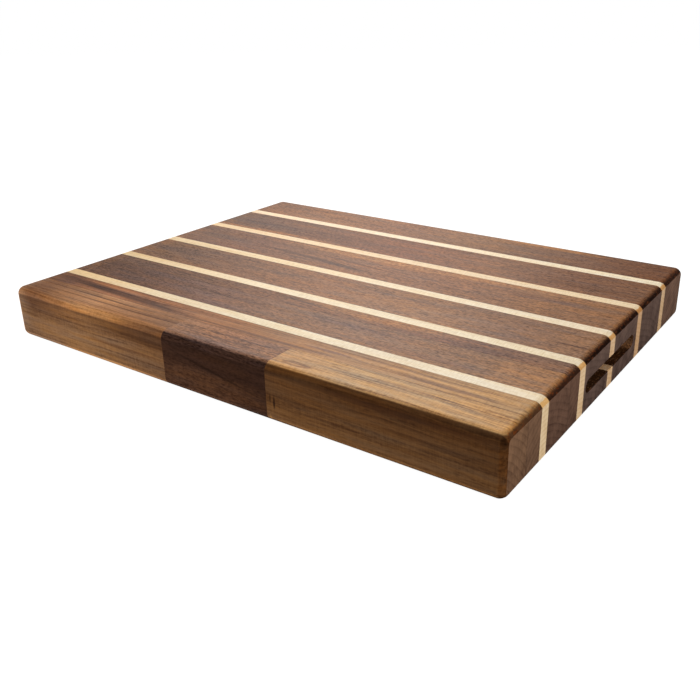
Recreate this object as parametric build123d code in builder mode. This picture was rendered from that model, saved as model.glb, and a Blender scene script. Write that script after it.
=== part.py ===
from build123d import *
import os

# Thick edge-laminated cutting board: dark walnut lanes with thin maple strips glued between them.
# Driving dimensions, in millimetres. Origin: centre of the underside.
# +X runs along the length, +Y from the front edge to the back, +Z up.
board_length = 431.8
board_thickness = 42.0
lane_widths = [46.1, 48.3, 44.9, 48.0, 47.7, 47.2]  # walnut lanes, from the front to the back
strip_width = 9.6  # maple strip between two lanes
edge_radius = 6.35  # roundover on every outside edge
end_trim = 0.75  # sanded off each end after the roundover, so the end meets it at a crisp arris

front_block_width = 27.6  # short blocks that are butted end to end along the front edge
middle_block_length = 94.8
middle_block_offset = 0.2  # how far the middle block stands from the middle of the length
second_lane_front_width = 32.8  # wider of the two staves that make the second lane

slot_length = 93.0  # finger slot in each end, measured along the end
slot_height = 9.4
slot_depth = 15.0
slot_mouth_radius = 0.5  # sanded edge round the mouth of a slot

# Positions that follow from the driving dimensions.
board_width = sum(lane_widths) + strip_width * (len(lane_widths) - 1)
half_length = board_length / 2
lane_starts = [
    sum(lane_widths[:index]) + strip_width * index - board_width / 2 for index in range(len(lane_widths))
]
lane_ends = [start + width for start, width in zip(lane_starts, lane_widths)]
slot_centre_y = (lane_ends[2] + lane_starts[3]) / 2  # the slots are centred on the middle strip


# The whole board after it is glued up: all twelve edges are rounded, the ends are sanded back flat,
# and then a finger slot is cut into each end and the edge round its mouth is eased.
with BuildPart() as blank:
    with BuildSketch(Plane.XY):
        Rectangle(board_length + 2 * end_trim, board_width)
    extrude(amount=board_thickness)
    fillet(blank.edges(), radius=edge_radius)
    with BuildSketch(Plane.XY):
        Rectangle(board_length, board_width)
    extrude(amount=board_thickness, mode=Mode.INTERSECT)
    for side in (1, -1):
        with BuildSketch(Plane.YZ.offset(side * half_length)):
            with Locations((slot_centre_y, board_thickness / 2)):
                SlotOverall(slot_length, slot_height)
        extrude(amount=-side * slot_depth, mode=Mode.SUBTRACT)
    right_end = blank.faces().sort_by(Axis.X)[-1]
    left_end = blank.faces().sort_by(Axis.X)[0]
    fillet(right_end.inner_wires().edges() + left_end.inner_wires().edges(), radius=slot_mouth_radius)


def make_stave(name, x_from, x_to, y_from, y_to):
    # One glued piece: its share of the board, with the board's own rounded edges and slots.
    with BuildPart() as stave:
        with BuildSketch(Plane.XY):
            with Locations(((x_from + x_to) / 2, (y_from + y_to) / 2)):
                Rectangle(x_to - x_from, y_to - y_from)
        extrude(amount=board_thickness)
        add(blank.part, mode=Mode.INTERSECT)
    stave.part.label = name
    export_step(stave.part, f"parts/{name}.step")


os.makedirs("parts", exist_ok=True)

# Front lane: three short blocks in a row, with one full-length stave glued behind them.
front_seam_y = lane_starts[0] + front_block_width
left_joint_x = middle_block_offset - middle_block_length / 2
right_joint_x = middle_block_offset + middle_block_length / 2
make_stave("walnut_front_left", -half_length, left_joint_x, lane_starts[0], front_seam_y)
make_stave("walnut_front_middle", left_joint_x, right_joint_x, lane_starts[0], front_seam_y)
make_stave("walnut_front_right", right_joint_x, half_length, lane_starts[0], front_seam_y)
make_stave("walnut_front_inner", -half_length, half_length, front_seam_y, lane_ends[0])

# Second lane: two full-length staves side by side.
second_seam_y = lane_starts[1] + second_lane_front_width
make_stave("walnut_second_front", -half_length, half_length, lane_starts[1], second_seam_y)
make_stave("walnut_second_back", -half_length, half_length, second_seam_y, lane_ends[1])

# The other four lanes are one board each.
for name, start, end in zip(("third", "fourth", "fifth", "rear"), lane_starts[2:], lane_ends[2:]):
    make_stave(f"walnut_{name}", -half_length, half_length, start, end)

# A maple strip fills the gap between each two neighbouring lanes.
for number, (start, end) in enumerate(zip(lane_ends[:-1], lane_starts[1:]), start=1):
    make_stave(f"maple_strip_{number}", -half_length, half_length, start, end)
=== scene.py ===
from math import radians
import bpy
from mathutils import Matrix, Vector


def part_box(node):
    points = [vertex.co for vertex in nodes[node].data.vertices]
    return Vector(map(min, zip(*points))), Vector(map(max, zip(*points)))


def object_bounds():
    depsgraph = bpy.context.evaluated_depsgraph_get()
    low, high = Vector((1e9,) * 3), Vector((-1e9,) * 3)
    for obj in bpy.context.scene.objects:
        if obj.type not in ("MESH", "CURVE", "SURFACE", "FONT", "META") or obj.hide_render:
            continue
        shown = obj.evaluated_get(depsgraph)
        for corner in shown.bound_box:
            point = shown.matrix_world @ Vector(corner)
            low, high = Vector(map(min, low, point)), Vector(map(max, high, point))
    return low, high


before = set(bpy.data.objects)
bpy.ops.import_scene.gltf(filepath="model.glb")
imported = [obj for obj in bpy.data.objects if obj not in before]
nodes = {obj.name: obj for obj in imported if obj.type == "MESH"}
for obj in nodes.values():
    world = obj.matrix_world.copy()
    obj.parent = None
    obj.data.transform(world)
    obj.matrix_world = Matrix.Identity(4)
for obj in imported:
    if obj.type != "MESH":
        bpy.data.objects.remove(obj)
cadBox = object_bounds()
mmPerMetre = 1000


def inMillimetres(box):
    return [[value * mmPerMetre for value in corner] for corner in box]


boardLow, boardHigh = inMillimetres(cadBox)
boardLength = boardHigh[0] - boardLow[0]
boardMiddle = (boardLow[2] + boardHigh[2]) / 2  # halfway up the board's thickness
noiseMiddle = 0.5  # a noise runs from 0 to 1 about this
print("board loaded:", len(nodes), "staves and strips")


class Wire:
    # an output socket that sums can be done on: each operator adds a Math node
    def __init__(self, bench, socket):
        self.bench = bench
        self.socket = socket

    def __add__(self, other):
        return self.bench.maths("ADD", self, other)

    def __sub__(self, other):
        return self.bench.maths("SUBTRACT", self, other)

    def __mul__(self, other):
        return self.bench.maths("MULTIPLY", self, other)

    def __truediv__(self, other):
        return self.bench.maths("DIVIDE", self, other)

    def __pow__(self, other):
        return self.bench.maths("POWER", self, other)

    def __radd__(self, other):
        return self.bench.maths("ADD", other, self)

    def __rsub__(self, other):
        return self.bench.maths("SUBTRACT", other, self)

    def __rmul__(self, other):
        return self.bench.maths("MULTIPLY", other, self)

    def __abs__(self):
        return self.bench.maths("ABSOLUTE", self, 0)


class Bench:
    # one node tree, and the one way that nodes are put on it
    def __init__(self, tree):
        self.tree = tree
        tree.nodes.clear()

    def node(self, kind, settings=None, sockets=None, output=0):
        made = self.tree.nodes.new(kind)
        for name, value in (settings or {}).items():
            if name == "stops":
                self.setStops(made.color_ramp, value)
            else:
                setattr(made, name, value)
        for name, value in (sockets or {}).items():
            if isinstance(value, Wire):
                self.tree.links.new(value.socket, made.inputs[name])
            else:
                made.inputs[name].default_value = value
        return Wire(self, made.outputs[output] if len(made.outputs) else None)

    def setStops(self, ramp, stops):
        while len(ramp.elements) < len(stops):
            ramp.elements.new(1.0)
        for element, (place, colour) in zip(ramp.elements, stops):
            element.position = place
            element.color = colour

    def maths(self, operation, a, b):
        return self.node("ShaderNodeMath", {"operation": operation}, {0: a, 1: b})

    def distance(self, a, b):
        return (a * a + b * b) ** 0.5

    def ease(self, value, low, high):
        # 0 before low, 1 past high, smooth between; low may be the larger of the two
        settings = {"interpolation_type": "SMOOTHSTEP"}
        sockets = {"Value": value, "From Min": low, "From Max": high}
        return self.node("ShaderNodeMapRange", settings, sockets)

    def blend(self, amount, first, second, way="MIX"):
        settings = {"data_type": "RGBA", "blend_type": way}
        return self.node("ShaderNodeMix", settings, {0: amount, 6: first, 7: second}, output=2)

    def ramp(self, value, stops):
        return self.node("ShaderNodeValToRGB", {"stops": stops}, {"Fac": value})

    def scale(self, vector, amount):
        return self.node("ShaderNodeVectorMath", {"operation": "SCALE"}, {0: vector, "Scale": amount})

    def axes(self, vector):
        return [self.node("ShaderNodeSeparateXYZ", None, {0: vector}, axis) for axis in "XYZ"]

    def vector(self, x, y, z):
        return self.node("ShaderNodeCombineXYZ", None, {"X": x, "Y": y, "Z": z})

    def noise(self, x, y, z, detail=2.0, roughness=0.5, output="Fac"):
        sockets = {"Vector": self.vector(x, y, z), "Scale": 1.0, "Detail": detail, "Roughness": roughness}
        return self.node("ShaderNodeTexNoise", None, sockets, output)


def swatch(text):
    # a paint-chart colour such as "8a6a4c", as the linear colour that a shader takes
    parts = [int(text[i:i + 2], 16) / 255 for i in (0, 2, 4)]
    linear = [p / 12.92 if p <= 0.04045 else ((p + 0.055) / 1.055) ** 2.4 for p in parts]
    return (*linear, 1.0)


def streak(x, at, reach, width, colour, strength=0.7, slope=0.0, across="y", edge=0.35):
    # a long patch of darker or paler colour, in mm: heartwood, or on the front blocks painted shade, painted
    # bounce light or a painted reflection; x is from the middle of the board, and "at" from the piece's front
    # edge; across "z" or
    # "height" it is from the underside, and "height" doesn't wander; edge is the part of the way out, 0 to 1,
    # where the patch begins to fade
    return {"x": x, "at": at, "reach": reach, "width": width, "colour": swatch(colour),
            "strength": strength, "slope": slope, "across": across, "edge": edge}


# in these dictionaries a length is in mm, and a pair is where a thing starts to show and where it is whole
figure = {  # each layer of grain: length, width, the axis that the seed shifts, detail, roughness
    "long": (110, 2.0, "x", 3.0, 0.6),
    "fibre": (14, 1.1, "y", 2.0, 0.6),
    "fleck": (3.2, 0.9, "z", 1.0, 0.5),
    "warmth": (45, 5, "y", 2.0, 0.5),
    "pore": (2.6, 0.42, "y", 0.0, 0.5),
}
timber = {
    "wanderLength": 170, "wanderWidth": 60,
    "ringMix": 0.55, "ringLength": 300, "lateRise": 3, "lateDrop": (1.0, 0.9),
    "broadLength": 260, "rayLength": 0.9, "raySlant": 9, "rayWidth": 7, "poreFrom": (0.62, 0.72),
    "fibreGloss": 0.12, "poreGloss": 0.15, "endGloss": 0.05,
    "fibreHeight": 0.4, "fleckHeight": 0.4, "poreDepth": 0.6, "bump": 0.3, "bumpMetres": 0.0001, "ior": 1.48,
}
speckAndGlints = {  # a speckle that makes the edge of the end grain ragged; its peaks are painted glints, highlights painted into the darkened rounded ends and finger slots
    "speck": 1.2, "speckWidth": 4, "detail": 2.0, "roughness": 0.6, "paintedGlintFrom": (0.54, 0.66),
}
slot = {  # where the slot's painted shade goes: its height is measured up and down from the middle of the board's thickness
    "levelFacing": (0.3, 0.6), "heightFrom": (6.7, 5.7), "fadeLength": 8, "paintedGlint": 0.6,
}
endGrain = {  # the numbers that aren't lengths or pairs say how strongly each part shows
    "hairWidth": 0.9, "hairLength": 8, "hair": 0.5, "blotchWidth": 9, "blotchHeight": 14, "blotch": 0.7,
    "fleck": 0.3, "paintedSheenPerMm": 0.005, "sideways": 0.9, "ragged": 0.3, "flatFrom": (0.93, 0.985),
}
longEdge = {  # where the painted shade on the long sides and upright corners goes; heights are above the underside
    "sideFacing": (0.45, 0.6), "topFrom": (32, 39), "footFrom": (6, 2), "foot": 0.4,
    "cornerFrom": (0.12, 0.35),
}


def solidWood(name, look):
    # solid timber: growth rings round a pith line that runs along the board, fibres and pores along it
    material = bpy.data.materials.new(name)
    material.use_nodes = True
    bench = Bench(material.node_tree)
    seed = look["seed"]
    place = bench.node("ShaderNodeTexCoord", output="Object")
    x, y, z = bench.axes(bench.scale(place, mmPerMetre))
    low, high = inMillimetres(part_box(name))

    # the grain wanders sideways as it runs along the piece
    wideY, wideZ = y / timber["wanderWidth"], z / timber["wanderWidth"]
    wander = bench.noise(x / timber["wanderLength"] + seed, wideY, wideZ, output="Color")
    wanderY, wanderZ = bench.axes(wander)[:2]
    grainY = y + (wanderY - noiseMiddle) * look["sway"]
    grainZ = z + (wanderZ - noiseMiddle) * look["sway"]

    pithY, pithZ = look["pith"]
    radius = bench.distance(grainY - pithY, grainZ - pithZ)
    rings = radius / look["ringWidth"]
    ringPart = bench.maths("FRACT", rings, 0)
    ringStrength = bench.noise(rings * timber["ringMix"] + seed, x / timber["ringLength"], 0.0, 1.0)
    lateWood = (ringPart ** timber["lateRise"]) * bench.ease(ringPart, *timber["lateDrop"]) * ringStrength

    # the colour drifts from end to end: partly the wood's own tone, partly painted light that dims towards
    # the ends of the top
    colour = bench.ramp((x - boardLow[0]) / boardLength, look["along"])
    # then come streaks: heartwood, and on the front blocks painted shade, painted bounce light and a painted
    # reflection
    sides = {"y": grainY - low[1], "z": grainZ, "height": z}
    for mark in look["marks"]:
        run = x - mark["x"]
        aside = sides[mark["across"]] - mark["at"] - run * mark["slope"]
        patch = bench.ease(bench.distance(run / mark["reach"], aside / mark["width"]), 1.0, mark["edge"])
        colour = bench.blend(patch * mark["strength"], colour, mark["colour"])

    def layer(part):
        alongGrain, acrossGrain, shifted, detail, roughness = figure[part]
        spot = {"x": x / alongGrain, "y": grainY / acrossGrain, "z": grainZ / acrossGrain}
        spot[shifted] = spot[shifted] + seed
        return bench.noise(spot["x"], spot["y"], spot["z"], detail, roughness)

    # the grain darkens and lightens that colour, broad bands first and flecks and rays last
    fibre = layer("fibre")
    fleck = layer("fleck")
    slant = x / timber["rayLength"] + y / timber["raySlant"]
    layers = {
        "broad": bench.noise(radius / look["streakWidth"] + seed, x / timber["broadLength"], seed),
        "long": layer("long"), "fibre": fibre, "fleck": fleck,
        "ray": bench.noise(slant, y / timber["rayWidth"] + seed, z / timber["rayWidth"], 0.0)}
    tone = noiseMiddle - lateWood * look["late"]
    for part, noise in layers.items():
        tone = tone + (noise - noiseMiddle) * look[part]
    colour = bench.blend(1.0, colour, bench.ramp(tone, look["grain"]), "MULTIPLY")
    colour = bench.blend(1.0, colour, bench.ramp(layer("warmth"), look["warmth"]), "MULTIPLY")
    pore = bench.ease(layer("pore"), *timber["poreFrom"])
    colour = bench.blend(pore * look["pores"], colour, look["poreTint"], "MULTIPLY")

    # painted shade: the floor and roof of a finger slot are darkened, broken up by painted glints, and on one
    # stave it fades out towards the back of the slot
    facing = bench.node("ShaderNodeNewGeometry", output="Normal")
    facingX, facingY, facingZ = [abs(axis) for axis in bench.axes(facing)]
    speckX, speckY, speckZ = x / speckAndGlints["speck"], y / speckAndGlints["speckWidth"], z / speckAndGlints["speck"]
    speck = bench.noise(speckX, speckY, speckZ + seed, speckAndGlints["detail"], speckAndGlints["roughness"])
    # painted glints: paler specks that stand for highlights
    paintedGlint = bench.ease(speck, *speckAndGlints["paintedGlintFrom"])
    inSlot = bench.ease(facingZ, *slot["levelFacing"]) * bench.ease(abs(z - boardMiddle), *slot["heightFrom"])
    unfaded = bench.ease(sides["y"], look["slotFade"] + slot["fadeLength"], look["slotFade"])
    slotShade = inSlot * (1 - paintedGlint * slot["paintedGlint"]) * unfaded
    colour = bench.blend(slotShade, colour, look["slotShadeTint"], "MULTIPLY")

    # end grain has its own colour, with the growth rings as arcs; the rounded edge is darkened, partly the
    # end grain's own dark where it soaks up the oil and partly painted shade, with painted glints, as far as
    # the crisp line where the flat end was sanded
    hairZ, hairX = z / endGrain["hairLength"], x / endGrain["hairLength"]
    hair = bench.noise(y / endGrain["hairWidth"], hairZ + seed, hairX, 1.0)
    blotch = bench.noise(y / endGrain["blotchWidth"], z / endGrain["blotchHeight"] + seed, 0.0)
    # painted sheen: the end face is made paler towards the top
    endTone = noiseMiddle + (z - boardMiddle) * endGrain["paintedSheenPerMm"] - lateWood * look["endRings"]
    for part, noise in {"blotch": blotch, "hair": hair, "fleck": fleck}.items():
        endTone = endTone + (noise - noiseMiddle) * endGrain[part]
    # the end colours are partly the end grain's own and partly painted sheen, set greyer than the grain
    # beside them
    endColour = bench.blend(1.0, bench.ramp(endTone, look["grain"]), look["end"], "MULTIPLY")
    turned = facingX - facingY * endGrain["sideways"] + (speck - noiseMiddle) * endGrain["ragged"]
    colour = bench.blend(bench.ease(turned, *look["endFrom"]), colour, endColour)
    flatEnd = bench.ease(facingX, *endGrain["flatFrom"])
    # the rounded end's darkening: the end grain's own dark and painted shade, with painted glints
    soakShadeAndGlints = bench.blend(paintedGlint, look["burnishTint"], look["paintedGlintTint"])
    soakAndShade = bench.ease(turned, *look["soakAndShadeFrom"]) * (1 - flatEnd)
    colour = bench.blend(soakAndShade, colour, soakShadeAndGlints, "MULTIPLY")

    # painted shade on the long sides: darker on the rounding under the top and, less so, on the rounding
    # above the foot
    edgeShade = bench.ease(z, *longEdge["topFrom"]) + bench.ease(z, *longEdge["footFrom"]) * longEdge["foot"]
    edgeShade = edgeShade * bench.ease(facingY, *longEdge["sideFacing"])
    colour = bench.blend(edgeShade, colour, look["edgeTint"], "MULTIPLY")
    # painted shade on the rounded upright corners
    corner = bench.ease(facingX * facingY, *longEdge["cornerFrom"])
    colour = bench.blend(corner, colour, look["cornerTint"], "MULTIPLY")
    colour = bench.scale(colour, look["lift"])

    # a fine dark line of glue where the piece meets its neighbours
    seam = bench.maths("MINIMUM", abs(y - low[1]), abs(y - high[1]))
    glue = bench.ease(seam, look["glueWidth"], 0.0)
    colour = bench.blend(glue * look["glue"], colour, look["glueColour"])

    roughness = look["roughness"] + (fibre - noiseMiddle) * timber["fibreGloss"]
    roughness = roughness + pore * timber["poreGloss"] - flatEnd * timber["endGloss"]
    height = fibre * timber["fibreHeight"] + fleck * timber["fleckHeight"] - pore * timber["poreDepth"]
    bump = bench.node("ShaderNodeBump", None, {
        "Strength": timber["bump"], "Distance": timber["bumpMetres"], "Height": height})
    shader = bench.node("ShaderNodeBsdfPrincipled", None, {
        "Base Color": colour, "Roughness": roughness, "Normal": bump, "IOR": timber["ior"],
        "Specular IOR Level": look["shine"]})
    bench.node("ShaderNodeOutputMaterial", None, {"Surface": shader})
    nodes[name].data.materials.clear()
    nodes[name].data.materials.append(material)


def spread(colours):
    # colour stops from the left end to the right: (place 0 to 1, paint-chart colour)
    return [(place, swatch(colour)) for place, colour in colours]


noFade = 1000  # how far from a piece's front edge its slot's painted shade fades: so far that it never does


def walnut(seed, pith, along, marks=(), **changes):
    look = {
        "seed": seed, "pith": pith, "along": spread(along), "marks": marks,
        "ringWidth": 4.5, "sway": 7.0, "streakWidth": 8.0,
        "broad": 0.4, "long": 0.4, "fibre": 1.0, "fleck": 1.15, "late": 0.15, "ray": 0.2,
        "grain": spread([(0.15, "8c7e78"), (0.5, "d8d3ce"), (0.85, "fffaf2")]), "lift": 1.3,
        "pores": 0.6, "poreTint": swatch("8f7f78"),
        "warmth": spread([(0.3, "e8eeff"), (0.5, "f8f3ee"), (0.7, "fff2d8")]),
        "slotShadeTint": swatch("7a6a5c"), "slotFade": noFade,
        "end": swatch("604d45"), "endFrom": (0.45, 0.8), "endRings": 0.4,
        "soakAndShadeFrom": (0.15, 0.7), "burnishTint": swatch("503622"), "paintedGlintTint": swatch("d09a68"),
        "cornerTint": swatch("b8aca2"), "edgeTint": swatch("b4aca6"),
        "glue": 0.6, "glueWidth": 0.45, "glueColour": swatch("2a1a12"), "roughness": 0.5, "shine": 0.05}
    look.update(changes)
    return look


# straight-grained walnut with long dark lines and few flecks
streaky = {"broad": 0.5, "long": 1.0, "fibre": 0.45, "fleck": 0.3, "late": 0.3, "pores": 0.25}


def maple(seed, along, end):
    return {
        "seed": seed, "pith": (-160 + seed * 7, -140), "along": spread(along), "marks": (),
        "ringWidth": 3.2, "sway": 5.0, "streakWidth": 6.0,
        "broad": 0.3, "long": 0.4, "fibre": 0.45, "fleck": 0.4, "late": 0.35, "ray": 0.5,
        "grain": spread([(0.2, "e2d6c4"), (0.5, "f4efe8"), (0.8, "ffffff")]), "lift": 1.1,
        "pores": 0.25, "poreTint": swatch("d8c8b4"),
        "warmth": spread([(0.3, "fafaff"), (0.7, "fff8ee")]),
        "slotShadeTint": swatch("ecd2bc"), "slotFade": noFade,
        "end": swatch(end), "endFrom": (0.52, 0.62), "endRings": 0.6,
        "soakAndShadeFrom": (0.5, 0.6), "burnishTint": swatch("ebd0a4"), "paintedGlintTint": swatch("f2dcb8"),
        "cornerTint": swatch("e8dccc"), "edgeTint": swatch("ffffff"),
        "glue": 0.45, "glueWidth": 0.4, "glueColour": swatch("6b4a30"),
        "roughness": 0.5, "shine": 0.1}


# each piece's first stops run from end to end and carry painted light as well as the wood's tone
woods = {
    "walnut_front_left": walnut(
        3.1, (-200, -60), [(0.0, "7a5439"), (0.06, "7d5a40"), (0.2, "b6885f"), (0.37, "996f4c")],
        # painted bounce light: the lower part of the front face paler
        [streak(-135, 14, 170, 20, "ac8764", 0.7, across="z"),
         # painted shade: a darker band on the front face under the rounded top
         streak(-60, 34, 100, 9.5, "5f4029", 0.65, -0.02, across="height", edge=0.5),
         streak(-120, 2.5, 50, 3.4, "c8955c", 0.5),
         streak(-90, 18, 60, 1.5, "7a5236", 0.6, across="z"),
         streak(-130, 22, 60, 1.2, "5a3b29"),
         streak(-110, 15.6, 120, 1.5, "5c3d2b"),
         streak(-120, 8.5, 90, 0.8, "664630"),
         # painted reflection: the left end of the front face paler
         streak(-216, 22, 22, 30, "a98b70", 0.7, across="z")],
        **streaky, end=swatch("7e5e47"), burnishTint=swatch("9c8a7e"),
        edgeTint=swatch("f0ece8"), cornerTint=swatch("fff8f0")),
    "walnut_front_middle": walnut(
        7.7, (-150, -70), [(0.4, "916c51"), (0.5, "9a6e4f"), (0.6, "90694e")],
        [streak(0, 0, 90, 14, "745b50", 0.75, edge=0.4),
         # painted shade: the front face and the rounding above it darker than the top
         streak(0, 10, 600, 31.7, "432d24", 0.97, across="height", edge=0.965),
         # painted bounce light: the lower part of the front face paler
         streak(-5, 10, 75, 17, "77533b", 0.75, across="z"),
         streak(20, 24, 60, 4, "38251f", 0.6, across="z"),
         streak(-12, 25, 45, 1.5, "271812", 0.7, -0.19, across="z"),
         streak(16, 20, 40, 1.2, "271812", 0.6, -0.19, across="z"),
         streak(-5, 13, 40, 1.6, "6a4c3c"),
         streak(5, 20, 40, 2.0, "63463a"),
         streak(40, 12, 12, 5, "a67a55", 0.6)],
        long=0.6, late=0.2, edgeTint=swatch("dce6f2")),
    "walnut_front_right": walnut(
        12.3, (-220, -60), [(0.6, "c59967"), (0.75, "c39f6f"), (0.95, "c29964")],
        # painted shade: the front face and the rounding above it darker than the top
        [streak(130, 10, 600, 31.7, "845d39", 0.97, across="height", edge=0.965),
         # painted bounce light: the lower part of the front face paler
         streak(130, 8, 200, 20, "a67c52", 0.8, across="z"),
         # painted shade: a darker band on the front face under the rounded top
         streak(150, 36, 80, 4, "6a4226", 0.6, across="height"),
         streak(170, 22, 60, 2, "6e4a2e", 0.5, across="z"),
         streak(66, 10, 13, 3.6, "8a6544", 0.8, edge=0.7),
         streak(64, 10, 9, 2.0, "b8926a", 0.9),
         streak(150, 19, 60, 1.2, "94704e"),
         streak(120, 14, 40, 0.8, "8f6b4a"),
         streak(54.2, 16, 1.2, 6, "2a170e", 0.9, across="z"),  # mineral marks by the joint
         streak(50.9, 18, 1.0, 4, "38210f", 0.7, across="z"),
         streak(50.4, 5, 1.2, 3, "cc9a60", 0.8, across="z")],
        **streaky, end=swatch("785b45"), burnishTint=swatch("a99a8a"), edgeTint=swatch("9e9892")),
    "walnut_front_inner": walnut(
        17.9, (-60, -80),
        [(0.0, "745139"), (0.06, "71503e"), (0.2, "b37c55"), (0.5, "9a6c43"), (0.65, "a67c53"),
         (0.95, "ba9464")],
        [streak(-125, 6.5, 105, 6.5, "50362a", 0.85, -0.035),
         streak(20, 2.5, 70, 3.0, "7a5744", 0.7),
         streak(71, 8, 28, 2.0, "7c5a49", 0.8),
         streak(163, 5, 50, 3.0, "80604a", 0.7),
         streak(-60, 14, 90, 3.0, "98663f", 0.5)],
        **streaky, end=swatch("745844"), burnishTint=swatch("a39484")),
    "walnut_second_front": walnut(
        21.4, (-140, -90),
        [(0.0, "785945"), (0.034, "775842"), (0.04, "664b3c"), (0.2, "6c4e3e"), (0.35, "7c5b4a"),
         (0.5, "8a6549"), (0.7, "916b4d"), (0.9, "8e6a4b"), (0.91, "9b734f"), (1.0, "9c744f")],
        [streak(-60, 20, 60, 3.0, "6a4f42"),
         streak(70, 24, 60, 5.0, "7c5e50"),
         streak(120, 8, 70, 4, "7e5e4e")],
        end=swatch("664c3e"), burnishTint=swatch("806f64")),
    "walnut_second_back": walnut(
        28.6, (-20, -70),
        [(0.0, "785943"), (0.034, "775741"), (0.04, "6b503f"), (0.2, "71523e"), (0.5, "8a6143"),
         (0.8, "896047"), (0.95, "846047")],
        [streak(10, 9, 55, 3.0, "60463a", 0.8, -0.08),
         streak(66, 17, 90, 17, "a9784a", 0.85, edge=0.5),
         streak(160, 5, 40, 5, "6e5042", 0.7)],
        end=swatch("664c3e"), burnishTint=swatch("806f64")),
    "walnut_third": walnut(
        33.3, (-80, -110),
        [(0.0, "866348"), (0.034, "826048"), (0.05, "775a44"), (0.2, "825e44"), (0.5, "986d4b"),
         (0.7, "9a7250"), (0.87, "88664e"), (1.0, "926d4e")],
        [streak(-170, 26, 50, 12, "665046", 0.6),
         streak(200, 16, 20, 2, "55382a"),
         streak(60, 30, 80, 2, "86624c", 0.5)]),
    "walnut_fourth": walnut(
        41.8, (70, -90),
        [(0.0, "866147"), (0.06, "7e5d48"), (0.2, "825c46"), (0.35, "8c6446"), (0.5, "9a6c49"),
         (0.7, "93694a"), (0.85, "916a4a"), (1.0, "8d6646")],
        [streak(30, 43, 190, 8, "b98452", 0.75, 0.01),
         streak(-60, 16, 100, 4.5, "654838", 0.8, -0.1),
         streak(-170, 24, 45, 9, "6a5347", 0.7),
         streak(-20, 24, 90, 1.6, "6e4c3a", 0.8, -0.1),
         streak(-90, 12, 70, 1.4, "70503e", 0.7, -0.08),
         streak(60, 22, 80, 1.8, "7e5a45", 0.6, -0.08),
         streak(150, 30, 50, 6, "765545", 0.6),
         streak(-100, 34, 60, 1.4, "7a5a46", 0.6, -0.06)],
        slotFade=30),
    "walnut_fifth": walnut(
        47.2, (30, -100),
        [(0.0, "7f5e43"), (0.06, "795843"), (0.2, "815b41"), (0.5, "8b5d40"), (0.7, "906748"),
         (0.85, "815b42"), (1.0, "7e593e")],
        [streak(-130, 1, 120, 8, "b07c4e", 0.7, -0.02),
         streak(-170, 24, 60, 15, "6e564a", 0.5),
         streak(170, 14, 50, 9, "66452f", 0.5)]),
    "walnut_rear": walnut(
        52.9, (190, -110),
        [(0.0, "875e40"), (0.2, "9d704c"), (0.4, "966b4d"), (0.6, "926b4a"), (0.8, "805d45"),
         (1.0, "754d32")],
        [streak(95, 40, 70, 6, "b5824f", 0.7, -0.05),
         streak(190, 44, 50, 5, "5c3e30", 0.7),
         streak(-70, 38, 30, 5, "b07e56", 0.6),
         streak(190, 18, 50, 14, "6c4a36", 0.5)],
        end=swatch("745a4b"), burnishTint=swatch("685950")),
    "maple_strip_1": maple(
        5.3, [(0.0, "cfb68b"), (0.15, "d6c09a"), (0.4, "e2d5b7"), (1.0, "dacdb3")], "e0c8a4"),
    "maple_strip_2": maple(
        10.6, [(0.0, "cfb78c"), (0.15, "d6c09a"), (0.4, "e2d2b2"), (1.0, "ddd2b8")], "dcc09c"),
    "maple_strip_3": maple(
        15.9, [(0.0, "d6bf96"), (0.4, "e5d3b0"), (1.0, "dccfb6")], "d4b490"),
    "maple_strip_4": maple(
        21.2, [(0.0, "dcc29a"), (0.4, "e1c69d"), (1.0, "dccbac")], "c6a17c"),
    "maple_strip_5": maple(
        26.5, [(0.0, "e6cbaa"), (0.4, "ebd9bb"), (1.0, "e1d9c2")], "d0b08c"),
}
for name, look in woods.items():
    solidWood(name, look)
print("wood finished on", len(woods), "pieces")

studio = {
    "floorSize": 60, "floorHeight": -0.0003,  # metres; a little low, so it doesn't cut into the underside
    "floorTone": "6c6c6b", "floorRoughness": 0.9, "floorShine": 0.1, "floorGlow": 0.96, "backdrop": "fdfdfd",
    "domeBase": 0.12, "domeTop": 0.25, "domePower": 2.0,
}
panels = {  # place, aim, size in metres, power in watts, seen in reflections
    "backKey": ((-1.04, 1.5, 1.43), (0.0, 0, 0.03), (1.0, 0.8), 63, True),
    "frontLeftPanel": ((-0.6, -0.75, 0.14), (-0.02, -0.15, 0.015), (0.4, 0.25), 10, False),
    "rightPanel": ((1.1, -0.2, 0.3), (0.2, 0, 0.02), (0.7, 0.5), 8, False),
}


def layFloor():
    bpy.ops.object.select_all(action="DESELECT")
    bpy.ops.mesh.primitive_plane_add(size=studio["floorSize"], location=(0, 0, studio["floorHeight"]))
    floor = bpy.context.object
    floor.name = "studioFloor"
    floor.visible_diffuse = False  # a matt sweep that throws no light back up at the board
    floor.visible_glossy = False
    material = bpy.data.materials.new("paleFloor")
    material.use_nodes = True
    bench = Bench(material.node_tree)
    shader = bench.node("ShaderNodeBsdfPrincipled", None, {
        "Base Color": swatch(studio["floorTone"]), "Roughness": studio["floorRoughness"],
        "Specular IOR Level": studio["floorShine"],
        "Emission Color": (1, 1, 1, 1), "Emission Strength": studio["floorGlow"]})
    bench.node("ShaderNodeOutputMaterial", None, {"Surface": shader})
    floor.data.materials.append(material)


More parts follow.
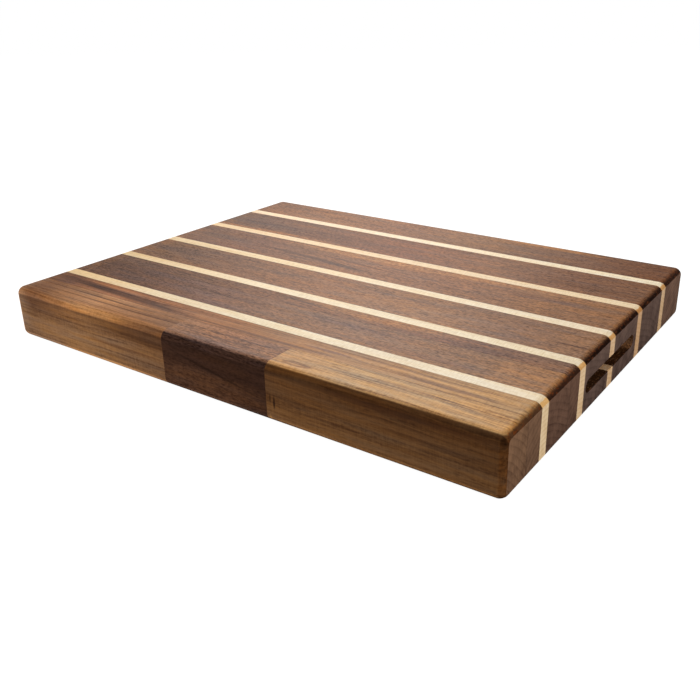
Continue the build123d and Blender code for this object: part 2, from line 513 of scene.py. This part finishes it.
def lightDome():
    # an overhead soft dome, brightest straight above, so the top is lit more than the sides
    world = bpy.data.worlds.new("softDome")
    bpy.context.scene.world = world
    world.use_nodes = True
    bench = Bench(world.node_tree)
    heading = bench.node("ShaderNodeTexCoord", output="Generated")
    above = bench.maths("MAXIMUM", bench.axes(heading)[2], 0.0)
    glow = studio["domeBase"] + (above ** studio["domePower"]) * studio["domeTop"]
    light = bench.node("ShaderNodeBackground", None, {"Color": (1, 1, 1, 1), "Strength": glow})
    pale = bench.node("ShaderNodeBackground", None, {"Color": swatch(studio["backdrop"]), "Strength": 1.0})
    seen = bench.node("ShaderNodeLightPath", output="Is Camera Ray")
    both = bench.node("ShaderNodeMixShader", None, {0: seen, 1: light, 2: pale})
    bench.node("ShaderNodeOutputWorld", None, {"Surface": both})


def hangPanel(name, place, aim, size, power, gloss):
    data = bpy.data.lights.new(name, "AREA")
    data.shape = "RECTANGLE"
    data.size, data.size_y = size
    data.energy = power
    panel = bpy.data.objects.new(name, data)
    panel.visible_camera = False
    panel.visible_glossy = gloss
    bpy.context.scene.collection.objects.link(panel)
    heading = Vector(aim) - Vector(place)
    panel.matrix_world = Matrix.Translation(place) @ heading.to_track_quat("-Z", "Y").to_matrix().to_4x4()


layFloor()
lightDome()
for name, panel in panels.items():
    hangPanel(name, *panel)
bpy.context.scene.view_settings.view_transform = "Standard"
print("studio lit")

view = {  # degrees, metres and, for the lens and sensor, mm
    "azimuth": 34.66, "elevation": 22.31, "roll": -0.78, "distance": 0.6384,
    "aim": (0.03664, -0.02688, 0.02119), "lens": 42.41, "shift": (-0.0336, -0.0428),
    "sensor": 36, "nearest": 0.01,
}


def setCamera():
    data = bpy.data.cameras.new("camera")
    camera = bpy.data.objects.new("camera", data)
    bpy.context.scene.collection.objects.link(camera)
    data.lens = view["lens"]
    data.sensor_width = view["sensor"]
    data.shift_x, data.shift_y = view["shift"]
    data.clip_start = view["nearest"]
    turn = Matrix.Rotation(radians(view["azimuth"]), 4, "Z")
    turn = turn @ Matrix.Rotation(radians(90 - view["elevation"]), 4, "X")
    turn = turn @ Matrix.Rotation(radians(view["roll"]), 4, "Z")
    back = turn.to_3x3() @ Vector((0, 0, 1))
    camera.matrix_world = Matrix.Translation(Vector(view["aim"]) + back * view["distance"]) @ turn
    bpy.context.scene.camera = camera


setCamera()
print("camera set")
